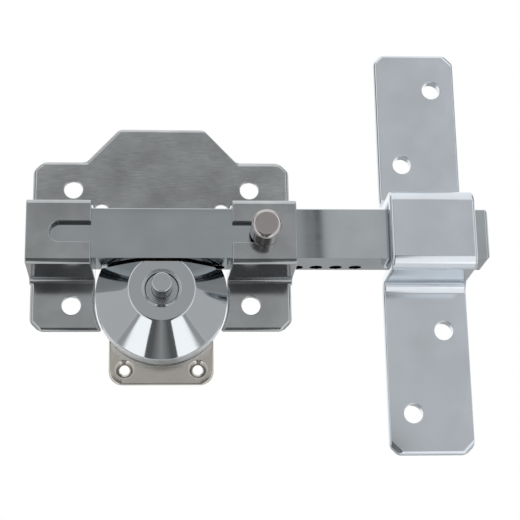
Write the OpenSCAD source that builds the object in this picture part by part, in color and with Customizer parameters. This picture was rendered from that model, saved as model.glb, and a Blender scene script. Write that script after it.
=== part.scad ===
// Surface deadbolt: a pressed case with a sliding bar, a key-driven pinion under a cone cover,
// and a bridge-shaped strike. Millimetres, +Z up, +X the way the bolt is thrown, -Y into the room.
// The origin is the middle of the case's four screw holes, on the door's face.
// A depth is the distance from the door's face into the room.

/* [Case] */
// Width of the case's upper plate and lower flanges
case_w = 80; // [78:0.5:84]
// Thickness of the case's sheet
case_t = 2; // [1.8:0.1:2.2]
// Depth of the bridges' front face
case_depth = 21; // [20.5:0.1:22]
// How far each bridge stands out past the flanges
bridge_extra = 0.4; // [0.2:0.1:0.6]
// Height of the upper plate's top edge
plate_top = 39; // [36:0.5:44]
// Height of the upper plate's shoulders
shoulder_z = 27.9; // [26:0.1:30]
// Width of the upper plate's top edge
top_edge_w = 26.8; // [20:0.2:32]
// Width between the shoulders' inner ends
shoulder_w = 47.4; // [42:0.2:52]
// Size of the case's cut corners
case_corner = 2.9; // [2:0.1:4]
// Depth of the lower flanges' bottom edge under the origin
flange_bottom = 26.7; // [25.5:0.1:30]
// Outer radius of the bridges' bends
bridge_bend_r = 1.6; // [1.2:0.1:2]
// Inner radius of a tight bend
inner_bend_r = 0.4; // [0.2:0.1:0.8]
// Radius of the hollow bend where a bridge meets the plate
case_foot_r = 1.3; // [1:0.1:1.6]
// Gap between the cone cover's rim and each lower flange
flange_clear = 0.3; // [0.2:0.1:0.6]
// How much wider the window is between the bridges' front faces than between the flanges
window_flare = 1.6; // [1:0.1:2]
// Distance between the case's screw holes across
screw_dx = 55; // [52:0.5:58]
// Distance between the case's screw holes up and down
screw_dz = 37.4; // [37:0.1:38]
// Diameter of the case's and the strike's screw holes
screw_d = 5.8; // [5:0.1:6.2]
// Distance between the two small holes in the upper plate
small_hole_dx = 37.3; // [36:0.1:38]
// Height of the two small holes
small_hole_z = 12.1; // [11.8:0.1:12.6]
// Diameter of the two small holes
small_hole_d = 4.1; // [3:0.1:4.4]

/* [Bolt] */
// Length of the bolt bar
bolt_l = 137; // [135:0.5:138]
// Height of the bolt bar
bolt_h = 15.6; // [15.4:0.1:15.8]
// Thickness of the bolt bar, front to back
bolt_t = 13.2; // [13:0.1:13.8]
// Height of the bolt's centre line
bolt_z = -0.6; // [-0.8:0.1:-0.4]
// Place of the bolt's thrown end
bolt_tip_x = 99.2; // [98.5:0.1:100]
// How far the bolt slides
travel = 60; // [58:0.5:60]
// Chamfer at the bolt's two ends
bolt_chamfer = 0.7; // [0.4:0.1:1.2]
// Distance from one rack hole to the next
rack_pitch = 6; // [6:0.05:6.1]
// Diameter of a rack hole
rack_hole_d = 3.9; // [3.8:0.1:4.1]
// Depth of a rack hole
rack_hole_l = 5; // [4.5:0.1:7]
// Number of rack holes
rack_count = 11; // [11:1:12]
// Place of the rack hole nearest the thrown end
rack_end_x = 59.2; // [59:0.1:59.6]

/* [Knob] */
// Place of the knob with the bolt thrown
knob_x = 30.8; // [30.6:0.1:31.2]
// Height of the knob and of the two slots it slides in
knob_z = -0.8; // [-1.2:0.1:-0.4]
// How far the left slot runs on past the end of the knob's travel
slot_spare = 1.1; // [0.1:0.1:2]
// Diameter of the knob
knob_d = 9.1; // [8:0.1:10]
// Length of the knob
knob_l = 8.5; // [7.5:0.1:10]
// Radius of the knob's rounded front edge
knob_round = 1; // [0.6:0.1:1.4]
// Chamfer of the knob's back edge
knob_chamfer = 0.3; // [0.2:0.1:0.5]
// Diameter of the screwed stud under the knob
stud_d = 5; // [4.5:0.1:5.2]
// Length of the stud inside the bolt
stud_in_bolt = 7; // [5:0.1:9]
// Length of the stud inside the knob
stud_in_knob = 6; // [4.5:0.1:6.5]
// Outer diameter of the sleeve round the stud
sleeve_d = 6.1; // [5.8:0.1:6.4]

/* [Guides] */
// Length of each nylon guide block
guide_l = 17.8; // [16:0.1:18.2]
// Thickness of the drag spring's strip
leaf_t = 0.4; // [0.3:0.05:0.5]
// Width of the drag spring's strip
leaf_w = 5; // [4:0.1:6]
// Length of the drag spring from end to end
leaf_l = 13; // [12:0.1:14]
// How far the drag spring bows out
leaf_bow = 1.7; // [1.4:0.1:2]

/* [Key side] */
// Depth under the origin of the axis of the key cylinder
axis_drop = 17.3; // [17.2:0.05:17.5]
// Width of the cylinder plate
cyl_plate_w = 31.8; // [31.6:0.1:34]
// Thickness of the cylinder plate
cyl_plate_t = 1.5; // [1.2:0.1:1.6]
// Height of the cylinder plate's top edge
cyl_plate_top = 5.4; // [2:0.1:5.6]
// Depth of the cylinder plate's bottom edge under the origin
cyl_plate_bottom = 43.2; // [42.5:0.1:46]
// Corner radius of the cylinder plate
cyl_plate_r = 4.2; // [3:0.1:4.6]
// Distance between the two countersunk holes
csk_dx = 22.2; // [21:0.1:23]
// Depth of the countersunk holes under the origin
csk_drop = 38.5; // [38.4:0.1:39.2]
// Diameter of a countersunk hole at its bottom
csk_d = 3; // [2.6:0.1:3.4]
// Diameter of a countersunk hole at its mouth
csk_mouth_d = 5.6; // [5:0.1:5.8]
// Distance between the key cylinder's two screw holes
cyl_screw_dx = 26; // [25:0.1:26.4]
// Diameter of the key cylinder's screw holes
cyl_screw_d = 5.2; // [4.6:0.1:5.4]

/* [Cone cover] */
// Diameter of the cover's rim
cover_d = 40; // [39.6:0.1:40.2]
// Diameter of the cover's flat front
cover_top_d = 20.1; // [19:0.1:22]
// Depth of the cover's flat front
cover_depth = 17.4; // [17:0.1:18]
// Depth of the corner between the rim and the cone
rim_depth = 9; // [8.6:0.1:10]
// Thickness of the cover's wall
cover_t = 1.5; // [1.2:0.1:1.8]
// Bevel that softens the cover's corners
cover_edge = 0.25; // [0.1:0.05:0.4]
// Gap between the cover's flat top and the bolt
cover_gap = 0.6; // [0.3:0.1:0.8]
// Chamfer round the hole in the cover's front
mouth_chamfer = 0.75; // [0.5:0.05:0.9]
// Thickness of the base under the cover
base_t = 1.1; // [1:0.1:1.2]
// Height of the base's step inside the cover
base_step_h = 2; // [1.5:0.1:2.4]
// Width of the base's step
base_step_w = 1.5; // [1.2:0.1:1.8]
// Gap between a rivet's head and the base's step
rivet_edge = 0.55; // [0.4:0.05:0.7]
// Diameter of a rivet's shank
rivet_d = 3; // [2.6:0.1:3]
// Diameter of a rivet's head
rivet_head_d = 4.4; // [4:0.1:4.4]
// Height of a rivet's head
rivet_head_t = 0.8; // [0.5:0.1:1]

/* [Pinion] */
// Thickness of the pinion
pinion_t = 2.4; // [2.2:0.1:2.5]
// Depth of the pinion's middle
pinion_depth = 8.45; // [8.4:0.05:8.9]
// How far a tooth reaches into a rack hole
tooth_reach = 1.2; // [1.1:0.05:1.25]
// Width of a tooth at its tip
tooth_tip_w = 1.4; // [1.2:0.1:1.5]
// Width of a tooth at its root
tooth_root_w = 2.4; // [2.2:0.1:2.6]
// Chamfer at a tooth's tip
tooth_chamfer = 0.3; // [0.2:0.05:0.4]
// Radius at the roots of the teeth
root_r = 6.7; // [6.6:0.1:6.9]

/* [Spindle] */
// Diameter of the spindle
spindle_d = 10; // [9.8:0.1:10.2]
// Diameter of the spindle's collar behind the pinion
collar_d = 12.4; // [12:0.1:13]
// Diameter of the chamber inside the spindle
chamber_d = 8.2; // [8:0.1:8.4]
// How far the spindle's nose reaches into the cover's hole
nose_in_hole = 0.5; // [0.3:0.1:0.7]
// Thickness of the spindle's front wall
front_wall = 1.7; // [1.5:0.1:2]
// How far the spindle runs behind the door's face
spindle_back = 5.6; // [5.4:0.1:6.4]
// Thickness of the bush round the spindle
bush_wall = 2; // [1.6:0.1:2]
// Width of the bush's flange
bush_flange_w = 2; // [1.5:0.1:2]
// Thickness of the bush's flange
bush_flange_t = 0.9; // [0.7:0.1:1.1]
// How far the bush runs behind the door's face
bush_back = 0.8; // [0.6:0.1:1]
// Thickness of the clip behind the bush
clip_t = 0.7; // [0.6:0.1:0.8]
// Depth of the clip's groove
clip_groove = 0.4; // [0.3:0.05:0.5]
// Width of the clip's ring
clip_ring_w = 1.8; // [1.4:0.1:2]
// Width of the clip's mouth
clip_mouth_w = 6.4; // [5:0.1:7]
// How far the tail driver runs behind the door's face
driver_back = 10; // [9:0.1:14]
// Depth of the tail driver's front end
driver_top = 4.8; // [4.6:0.1:5]
// Width of the driver's slot for the key cylinder's tail
tail_slot_w = 2.4; // [2:0.1:3]
// Diameter of the pin that holds the driver
pin_d = 2; // [1.6:0.1:2]
// Metal left before and behind the pin
pin_wall = 0.8; // [0.6:0.1:0.8]

/* [Button] */
// Diameter of the push button
button_d = 6; // [5.6:0.1:6.1]
// Depth of the button's front end
button_depth = 24.4; // [24:0.1:25]
// How far the button goes in
button_travel = 4; // [3:0.1:4]
// Chamfer at the button's front end
button_chamfer = 0.2; // [0.15:0.05:0.3]
// Thickness of the button's head
button_head_t = 1.5; // [1.2:0.1:1.6]
// Diameter of the thin rod behind the head
thin_rod_d = 3.6; // [3.2:0.1:3.8]
// How far the thin rod reaches into the driver
rod_in_driver = 1.8; // [1.5:0.1:2]
// Wire diameter of the button's spring
wire_d = 0.6; // [0.5:0.05:0.65]
// Number of turns of the button's spring
spring_turns = 5; // [4:1:5]

/* [Strike] */
// Width of the strike
strike_w = 26; // [24:0.5:28]
// Height of the strike
strike_h = 130; // [126:1:136]
// Thickness of the strike's sheet
strike_t = 3.5; // [3.2:0.1:3.7]
// Place of the strike's middle along the bolt
strike_x = 81.4; // [79:0.1:84]
// Height of the strike's middle
strike_z = -0.1; // [-0.4:0.1:0.2]
// Height of the space inside the strike's loop
loop_h = 17.6; // [17:0.1:18.4]
// Gap between the bolt's front and the strike's loop
loop_gap = 1.5; // [0.4:0.1:2]
// Outer radius of the loop's bends
loop_bend_r = 4; // [3.8:0.1:4.4]
// Radius of the hollow bend at the loop's feet
loop_foot_r = 3.2; // [2.5:0.1:3.6]
// Size of the strike's cut corners
strike_corner = 2.7; // [2:0.1:4]
// Distance of each screw row from the strike's middle line
strike_screw_x = 5.3; // [4:0.1:6]
// Height of the inner screw holes from the strike's middle
strike_screw_in = 27; // [25:0.1:29]
// Height of the outer screw holes from the strike's middle
strike_screw_out = 52.6; // [50:0.1:55]

/* [Hidden] */
$fn = 96;

// Radial play of a running fit
run_fit = 0.05;
// Radial play of a pressed or screwed fit, whose threads aren't modelled
press_fit = 0.02;
// Gap between pieces clamped together
touch_gap = 0.05;
// Gap between pieces that slide or turn face to face
face_gap = 0.1;
// Gap between pieces laid near each other
seat_gap = 0.3;
// Gap between the bolt and the case's sheet all round
slide_gap = 0.2;
// Gap between the knob's sleeve and the right slot's end with the bolt thrown
stop_gap = 0.1;
// How far a blind hole runs past what sits in it
blind_end = 0.4;
// How far a cut passes a face
cut = 1;
// How far pieces of one solid overlap
merge = 0.5;

bolt_front = case_depth - case_t - slide_gap;
bolt_back = bolt_front - bolt_t;
bolt_under = bolt_z - bolt_h / 2;
bridge_half = bolt_h / 2 + slide_gap + case_t;
bridge_w = case_w + 2 * bridge_extra;
flange_gap_w = cover_d + 2 * flange_clear;
flange_inner_x = cyl_plate_w / 2 + seat_gap;
window_w = flange_gap_w + window_flare;
foot_reach = case_t + case_foot_r;
plate_foot = bolt_z + bridge_half + case_foot_r;
flange_foot = bolt_z - bridge_half - case_foot_r;
// The window's upper edge is level with the inside of the bridges' top walls
window_top = bolt_z + bridge_half - case_t;
slot_h = sleeve_d + 2 * face_gap;
slot_left_x = knob_x - travel - slot_spare;
slot_right_x = knob_x + stop_gap;
knob_base = case_depth + slide_gap;

// Each guide block stops short of the bolt, and its spring bridges the gap
guide_t = bolt_back - seat_gap;
guide_half = bridge_half - case_t - face_gap;
guide_x = (window_w / 2 + case_w / 2 - face_gap) / 2 + seat_gap;
leaf_top = bolt_back - face_gap;
leaf_r = (leaf_l * leaf_l / 4 + leaf_bow * leaf_bow) / (2 * leaf_bow);
pocket_bottom = leaf_top - leaf_bow - leaf_t - touch_gap;

// The cover, its base and the pinion sit on the key axis, under the bolt
axis_z = -axis_drop;
axis_to_rack = bolt_under - axis_z;
cover_flat = axis_to_rack - cover_gap;
cover_slope = (cover_d - cover_top_d) / 2 / (cover_depth - rim_depth);
base_top = cyl_plate_t + base_t;
step_r = cover_d / 2 - cover_t - touch_gap;
rivet_r = step_r - base_step_w - rivet_edge - rivet_head_d / 2;
rivet_csk = (rivet_head_d - rivet_d) / 2;
rivet_angles = [25, 155, 270];
// As many teeth as the circle that rolls along the rack has room for
teeth = round(2 * PI * (axis_to_rack + tooth_reach / 3) / rack_pitch);
pitch_r = teeth * rack_pitch / (2 * PI);
tip_r = axis_to_rack + tooth_reach;
pinion_back = pinion_depth - pinion_t / 2;
// A tooth stands in the rack hole nearest the axis
tooth_turn = (rack_end_x - rack_pitch * round(rack_end_x / rack_pitch)) / pitch_r * 180 / PI;

nose_depth = cover_depth - cover_t + nose_in_hole;
chamber_top = nose_depth - front_wall;
bush_d = spindle_d + 2 * bush_wall;
bush_flange_d = bush_d + 2 * bush_flange_w;
collar_back = cyl_plate_t + bush_flange_t + face_gap;
clip_back = bush_back + seat_gap + clip_t;
clip_groove_d = spindle_d - 2 * clip_groove;
pin_back = clip_back + pin_wall + pin_d / 2;
tail_slot_back = pin_back + pin_d / 2 + pin_wall;

// The button's head stops behind the spindle's front wall
button_head_top = chamber_top - face_gap;
button_head_back = button_head_top - button_head_t;
button_head_d = chamber_d - seat_gap;
rod_end = driver_top - rod_in_driver;
driver_bore_end = rod_end - button_travel - blind_end;
spring_l = button_head_back - driver_top - 2 * touch_gap;
spring_r = (thin_rod_d + chamber_d) / 4;

strike_front = bolt_front + loop_gap + strike_t;
loop_half = loop_h / 2 + strike_t;

// Draws its children facing the room, starting at a depth
module out(depth) {
    translate([0, -depth, 0]) rotate([90, 0, 0]) children();
}

// The same, centred on the key axis
module on_axis(depth) {
    translate([0, 0, axis_z]) out(depth) children();
}

// Draws a profile of [-depth, height] along X, centred on x = 0
module along_x(l) {
    translate([-l / 2, 0, 0]) rotate([90, 0, 90]) linear_extrude(l) children();
}

// A block with two round corners at the front
module hat_solid(depth, half, r) {
    translate([r - depth, -half]) square([depth - r, 2 * half]);
    translate([-depth, r - half]) square([depth, 2 * (half - r)]);
    for (s = [-1, 1]) translate([r - depth, s * (half - r)]) circle(r);
}

// Profile of a sheet bent out over a bar and back, down to its two feet
module hat_profile(depth, half, t, bend_r, foot_r) {
    reach = t + foot_r;
    difference() {
        union() {
            hat_solid(depth, half, bend_r);
            for (s = [-1, 1]) scale([1, s]) translate([-reach, half]) square([reach, foot_r]);
        }
        translate([cut, 0]) hat_solid(depth - t + cut, half - t, max(bend_r - t, inner_bend_r));
        for (s = [-1, 1]) scale([1, s]) {
            translate([-reach, half + foot_r]) circle(foot_r);
            // The back of the foot curves into the wall
            difference() {
                translate([-reach, half - t]) square([reach + cut, reach]);
                translate([-reach, half + foot_r]) circle(reach);
            }
        }
    }
}

module case_plate() color("#8C8E90") difference() {
    union() {
        translate([0, 0, bolt_z]) difference() {
            along_x(bridge_w) hat_profile(case_depth, bridge_half, case_t, bridge_bend_r, case_foot_r);
            // The window takes the middle away and narrows a little towards the flanges
            translate([0, 0, -bridge_half - foot_reach]) linear_extrude(2 * (bridge_half + foot_reach))
                for (s = [-1, 1]) scale([s, 1])
                    polygon([[-merge, cut], [flange_gap_w / 2, cut], [flange_gap_w / 2, -foot_reach],
                        [window_w / 2, -case_depth], [window_w / 2, -case_depth - cut],
                        [-merge, -case_depth - cut]]);
        }
        out(0) linear_extrude(case_t) {
            polygon([[-case_w / 2, plate_foot], [case_w / 2, plate_foot],
                [case_w / 2, shoulder_z - case_corner], [case_w / 2 - case_corner, shoulder_z],
                [shoulder_w / 2, shoulder_z], [top_edge_w / 2, plate_top],
                [-top_edge_w / 2, plate_top], [-shoulder_w / 2, shoulder_z],
                [case_corner - case_w / 2, shoulder_z], [-case_w / 2, shoulder_z - case_corner]]);
            // Behind the window the plate stays flat down to the window's edge
            translate([-flange_gap_w / 2, window_top])
                square([flange_gap_w, plate_foot - window_top]);
            // Below the key axis the flanges follow the round cover, down to the cylinder plate
            difference() {
                for (s = [-1, 1]) scale([s, 1])
                    polygon([[flange_inner_x, flange_foot], [case_w / 2, flange_foot],
                        [case_w / 2, case_corner - flange_bottom],
                        [case_w / 2 - case_corner, -flange_bottom],
                        [flange_inner_x, -flange_bottom]]);
                translate([0, axis_z]) circle(d = flange_gap_w);
                translate([-flange_gap_w / 2, axis_z])
                    square([flange_gap_w, flange_foot + cut - axis_z]);
            }
        }
    }
    for (x = [-1, 1], z = [-1, 1])
        translate([x * screw_dx / 2, 0, z * screw_dz / 2]) out(-cut)
            cylinder(d = screw_d, h = case_t + 2 * cut);
    for (x = [-1, 1])
        translate([x * small_hole_dx / 2, 0, small_hole_z]) out(-cut)
            cylinder(d = small_hole_d, h = case_t + 2 * cut);
    // Two slots run in from the window for the knob's sleeve
    translate([0, 0, knob_z]) out(case_depth - case_t - cut) {
        translate([slot_left_x, 0, 0]) cylinder(d = slot_h, h = case_t + 2 * cut);
        translate([slot_right_x, 0, 0]) cylinder(d = slot_h, h = case_t + 2 * cut);
        translate([slot_left_x, -slot_h / 2, 0])
            cube([slot_right_x - slot_left_x, slot_h, case_t + 2 * cut]);
    }
}

// A block between the door and the bolt's back, with a pocket for the drag spring
module bolt_guide(side) {
    pocket_l = leaf_l + 2 * seat_gap;
    pocket_w = leaf_w + 2 * face_gap;
    translate([side * guide_x, 0, bolt_z]) difference() {
        out(0) translate([-guide_l / 2, -guide_half, 0]) cube([guide_l, 2 * guide_half, guide_t]);
        out(pocket_bottom) translate([-pocket_l / 2, -pocket_w / 2, 0])
            cube([pocket_l, pocket_w, guide_t]);
    }
}

module left_bolt_guide() color("#D6D2C6") bolt_guide(-1);

module right_bolt_guide() color("#D6D2C6") bolt_guide(1);

// A bowed strip that presses lightly on the bolt's back
module drag_spring(side) {
    translate([side * guide_x, leaf_r - leaf_top, bolt_z - leaf_w / 2])
        linear_extrude(leaf_w) intersection() {
            difference() {
                circle(leaf_r);
                circle(leaf_r - leaf_t);
            }
            translate([-leaf_l / 2, -leaf_r - cut]) square([leaf_l, leaf_r]);
        }
}

module left_drag_spring() color("#A8A49A") drag_spring(-1);

module right_drag_spring() color("#A8A49A") drag_spring(1);

// A bar's outline with its two ends chamfered
module bar_outline(low, high, c) {
    tail = bolt_tip_x - bolt_l;
    polygon([[tail + c, low], [bolt_tip_x - c, low], [bolt_tip_x, low + c], [bolt_tip_x, high - c],
        [bolt_tip_x - c, high], [tail + c, high], [tail, high - c], [tail, low + c]]);
}

module bolt_bar() color("#868B8E") difference() {
    intersection() {
        out(bolt_back) linear_extrude(bolt_t)
            bar_outline(bolt_under, bolt_under + bolt_h, bolt_chamfer);
        translate([0, 0, bolt_under]) linear_extrude(bolt_h)
            bar_outline(-bolt_front, -bolt_back, bolt_chamfer);
    }
    for (i = [0:rack_count - 1])
        translate([rack_end_x - i * rack_pitch, -pinion_depth, bolt_under - cut])
            cylinder(d = rack_hole_d, h = rack_hole_l + cut);
    translate([knob_x, 0, knob_z]) out(bolt_front - stud_in_bolt - blind_end)
        cylinder(d = stud_d + 2 * press_fit, h = stud_in_bolt + blind_end + cut);
}

module slot_sleeve() color("#9A9C9E") translate([knob_x, 0, knob_z]) difference() {
    out(bolt_front + touch_gap) cylinder(d = sleeve_d, h = knob_base - bolt_front - 2 * touch_gap);
    out(bolt_front - cut)
        cylinder(d = stud_d + 2 * press_fit, h = knob_base - bolt_front + 2 * cut);
}

module knob_stud() color("#6E7072") translate([knob_x, 0, knob_z]) out(bolt_front - stud_in_bolt)
    cylinder(d = stud_d, h = stud_in_bolt + knob_base - bolt_front + stud_in_knob);

module bolt_knob() color("#A9A6A2") translate([knob_x, 0, knob_z]) difference() {
    out(knob_base) rotate_extrude() {
        polygon([[0, 0], [knob_d / 2 - knob_chamfer, 0], [knob_d / 2, knob_chamfer],
            [knob_d / 2, knob_l - knob_round], [0, knob_l - knob_round]]);
        translate([knob_d / 2 - knob_round, knob_l - knob_round]) circle(knob_round);
        translate([0, knob_l - 2 * knob_round]) square([knob_d / 2 - knob_round, 2 * knob_round]);
    }
    out(knob_base - cut)
        cylinder(d = stud_d + 2 * press_fit, h = stud_in_knob + blind_end + cut);
}

// A plate's outline with round corners
module rounded_outline(w, low, high, r) {
    translate([-w / 2, low + r]) square([w, high - low - 2 * r]);
    translate([r - w / 2, low]) square([w - 2 * r, high - low]);
    for (x = [-1, 1], z = [low + r, high - r]) translate([x * (w / 2 - r), z]) circle(r);
}

// The rivets' places round the key axis
module at_rivets() {
    for (a = rivet_angles) translate([rivet_r * cos(a), rivet_r * sin(a), 0]) children();
}

module cylinder_plate() color("#8C8A85") difference() {
    out(0) linear_extrude(cyl_plate_t)
        rounded_outline(cyl_plate_w, -cyl_plate_bottom, cyl_plate_top, cyl_plate_r);
    for (x = [-1, 1]) translate([x * csk_dx / 2, 0, -csk_drop]) {
        out(-cut) cylinder(d = csk_d, h = cyl_plate_t + 2 * cut);
        out(cyl_plate_t - (csk_mouth_d - csk_d) / 2)
            cylinder(d1 = csk_d, d2 = csk_mouth_d, h = (csk_mouth_d - csk_d) / 2);
        out(cyl_plate_t) cylinder(d = csk_mouth_d, h = cut);
    }
    on_axis(-cut) {
        cylinder(d = bush_d + 2 * press_fit, h = cyl_plate_t + 2 * cut);
        for (x = [-1, 1]) translate([x * cyl_screw_dx / 2, 0, 0])
            cylinder(d = cyl_screw_d, h = cyl_plate_t + 2 * cut);
        at_rivets() cylinder(d = rivet_d + 2 * press_fit, h = cyl_plate_t + 2 * cut);
    }
    // Each rivet's tail fills a countersink in the plate's back
    on_axis(0) at_rivets()
        cylinder(d1 = rivet_head_d + 2 * press_fit, d2 = rivet_d + 2 * press_fit, h = rivet_csk);
}

module spindle_bush() color("#B5985A") difference() {
    union() {
        on_axis(-bush_back) cylinder(d = bush_d, h = bush_back + cyl_plate_t + merge);
        on_axis(cyl_plate_t + touch_gap) cylinder(d = bush_flange_d, h = bush_flange_t - touch_gap);
    }
    on_axis(-bush_back - cut)
        cylinder(d = spindle_d + 2 * run_fit, h = bush_back + cyl_plate_t + bush_flange_t + 2 * cut);
}

// Takes away all that stands above the cover's flat top, which clears the bolt
module below_flat() {
    intersection() {
        children();
        translate([-cover_d, -cover_depth - cut, axis_z - cover_d])
            cube([2 * cover_d, cover_depth + 2 * cut, cover_d + cover_flat]);
    }
}

module cover_base() color("#9A9C9E") below_flat() difference() {
    union() {
        on_axis(cyl_plate_t + touch_gap) cylinder(d = cover_d, h = base_t - touch_gap);
        on_axis(base_top - merge) cylinder(r = step_r, h = base_step_h + merge);
    }
    on_axis(base_top) cylinder(r = step_r - base_step_w, h = base_step_h + cut);
    on_axis(cyl_plate_t - cut) {
        cylinder(d = bush_flange_d + 2 * seat_gap, h = base_t + 2 * cut);
        for (x = [-1, 1]) translate([x * cyl_screw_dx / 2, 0, 0])
            cylinder(d = cyl_screw_d, h = base_t + 2 * cut);
        at_rivets() cylinder(d = rivet_d + 2 * press_fit, h = base_t + 2 * cut);
    }
}

module base_rivets() color("#8F9193") on_axis(0) at_rivets() {
    cylinder(d = rivet_d, h = base_top + rivet_head_t);
    cylinder(d1 = rivet_head_d, d2 = rivet_d, h = rivet_csk);
    translate([0, 0, base_top + touch_gap]) cylinder(d = rivet_head_d, h = rivet_head_t - touch_gap);
}

// Half the cover's outline, drawn smaller by a wall's thickness, with bevelled corners
module cover_outline(wall, low, high) {
    rim = cover_d / 2 - wall;
    corner = rim_depth - wall * (sqrt(1 + cover_slope * cover_slope) - 1) / cover_slope;
    top = rim - (high - corner) * cover_slope;
    polygon([[0, low], [rim, low], [rim, corner - cover_edge],
        [rim - cover_edge * cover_slope, corner + cover_edge],
        [top + cover_edge * cover_slope, high - cover_edge],
        [top - cover_edge, high], [0, high]]);
}

module cone_cover() color("#9BA1A5") below_flat() difference() {
    on_axis(0) rotate_extrude() cover_outline(0, base_top + touch_gap, cover_depth);
    on_axis(0) rotate_extrude() cover_outline(cover_t, base_top - cut, cover_depth - cover_t);
    on_axis(cover_depth - cover_t - cut)
        cylinder(d = spindle_d + 2 * run_fit, h = cover_t + 2 * cut);
    on_axis(cover_depth - mouth_chamfer)
        cylinder(d1 = spindle_d + 2 * run_fit, d2 = spindle_d + 2 * (run_fit + mouth_chamfer),
            h = mouth_chamfer);
    on_axis(cover_depth) cylinder(d = spindle_d + 2 * (run_fit + mouth_chamfer), h = cut);
}

module drive_pinion() color("#A39A82") on_axis(pinion_back) difference() {
    linear_extrude(pinion_t) rotate([0, 0, -tooth_turn]) {
        circle(root_r);
        for (i = [0:teeth - 1]) rotate([0, 0, i * 360 / teeth])
            polygon([[-tooth_root_w / 2, root_r - merge], [tooth_root_w / 2, root_r - merge],
                [tooth_tip_w / 2, tip_r - tooth_chamfer], [tooth_tip_w / 2 - tooth_chamfer, tip_r],
                [tooth_chamfer - tooth_tip_w / 2, tip_r], [-tooth_tip_w / 2, tip_r - tooth_chamfer]]);
    }
    translate([0, 0, -cut]) cylinder(d = spindle_d + 2 * press_fit, h = pinion_t + 2 * cut);
}

module spindle() color("#94979A") difference() {
    union() {
        on_axis(-spindle_back) cylinder(d = spindle_d, h = spindle_back + nose_depth);
        on_axis(collar_back) cylinder(d = collar_d, h = pinion_back - touch_gap - collar_back);
    }
    on_axis(-spindle_back - cut) cylinder(d = chamber_d, h = spindle_back + chamber_top + cut);
    on_axis(chamber_top - cut) cylinder(d = button_d + 2 * run_fit, h = front_wall + 2 * cut);
    on_axis(-clip_back - touch_gap) difference() {
        cylinder(d = spindle_d + cut, h = clip_t + 2 * touch_gap);
        translate([0, 0, -cut]) cylinder(d = clip_groove_d, h = clip_t + 2 * cut);
    }
    pin_hole();
}

// The hole for the pin through the spindle and the driver
module pin_hole() {
    translate([0, pin_back, axis_z]) rotate([0, 90, 0])
        cylinder(d = pin_d + 2 * press_fit, h = spindle_d + 2 * cut, center = true);
}

// An open ring, sprung into the spindle's groove behind the bush
module spindle_clip() color("#55575A") on_axis(-clip_back) difference() {
    cylinder(d = clip_groove_d + 2 * clip_ring_w, h = clip_t);
    translate([0, 0, -cut]) cylinder(d = clip_groove_d + 2 * press_fit, h = clip_t + 2 * cut);
    translate([-clip_mouth_w / 2, -spindle_d, -cut])
        cube([clip_mouth_w, spindle_d, clip_t + 2 * cut]);
}

module tail_driver() color("#A98F55") difference() {
    on_axis(-driver_back) cylinder(d = chamber_d - 2 * press_fit, h = driver_back + driver_top);
    on_axis(driver_bore_end)
        cylinder(d = thin_rod_d + 2 * run_fit, h = driver_top - driver_bore_end + cut);
    pin_hole();
    translate([-tail_slot_w / 2, tail_slot_back, axis_z - chamber_d])
        cube([tail_slot_w, driver_back, 2 * chamber_d]);
}

module tail_pin() color("#6E7072") translate([0, pin_back, axis_z]) rotate([0, 90, 0])
    cylinder(d = pin_d, h = spindle_d - 2 * face_gap, center = true);

module release_button() color("#8E9294") {
    on_axis(button_head_back) cylinder(d = button_head_d, h = button_head_t);
    on_axis(button_head_top - merge)
        cylinder(d = button_d, h = button_depth - button_chamfer - button_head_top + merge);
    on_axis(button_depth - button_chamfer)
        cylinder(d1 = button_d, d2 = button_d - 2 * button_chamfer, h = button_chamfer);
    on_axis(rod_end) cylinder(d = thin_rod_d, h = button_head_back - rod_end + merge);
}

// A helical wire of six sides, with eight rings to a turn
module button_spring() color("#B9B7B0") {
    sides = 6;
    steps = spring_turns * 8;
    rise = spring_l - wire_d;
    points = [for (i = [0:steps], s = [0:sides - 1])
        let (a = i * 45, b = s * 360 / sides, r = spring_r + wire_d / 2 * cos(b))
        [r * cos(a), r * sin(a), wire_d / 2 + rise * i / steps + wire_d / 2 * sin(b)]];
    walls = [for (i = [0:steps - 1], s = [0:sides - 1])
        let (n = (s + 1) % sides, p = i * sides)
        each [[p + s, p + sides + s, p + sides + n], [p + s, p + sides + n, p + n]]];
    ends = [for (s = [1:sides - 2])
        each [[0, s, s + 1], [steps * sides, steps * sides + s + 1, steps * sides + s]]];
    // Least distance between a ring's points and those one turn on
    gap = min([for (i = [0:steps - 8], s = [0:sides - 1], n = [0:sides - 1])
        norm(points[i * sides + s] - points[(i + 8) * sides + n])]);
    echo(spring_gap = gap);
    on_axis(driver_top + touch_gap) polyhedron(points, concat(walls, ends));
}

module strike_bracket() color("#A6ACB3") translate([strike_x, 0, strike_z]) difference() {
    union() {
        along_x(strike_w) hat_profile(strike_front, loop_half, strike_t, loop_bend_r, loop_foot_r);
        out(0) linear_extrude(strike_t) for (s = [-1, 1]) scale([1, s])
            polygon([[-strike_w / 2, loop_half + loop_foot_r], [strike_w / 2, loop_half + loop_foot_r],
                [strike_w / 2, strike_h / 2 - strike_corner],
                [strike_w / 2 - strike_corner, strike_h / 2],
                [strike_corner - strike_w / 2, strike_h / 2],
                [-strike_w / 2, strike_h / 2 - strike_corner]]);
    }
    for (p = [[1, strike_screw_out], [-1, strike_screw_in], [1, -strike_screw_in], [-1, -strike_screw_out]])
        translate([p[0] * strike_screw_x, 0, p[1]]) out(-cut)
            cylinder(d = screw_d, h = strike_t + 2 * cut);
}

case_plate();
left_bolt_guide();
right_bolt_guide();
left_drag_spring();
right_drag_spring();
bolt_bar();
slot_sleeve();
knob_stud();
bolt_knob();
cylinder_plate();
spindle_bush();
cover_base();
base_rivets();
cone_cover();
drive_pinion();
spindle();
spindle_clip();
tail_driver();
tail_pin();
release_button();
button_spring();
strike_bracket();
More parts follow.
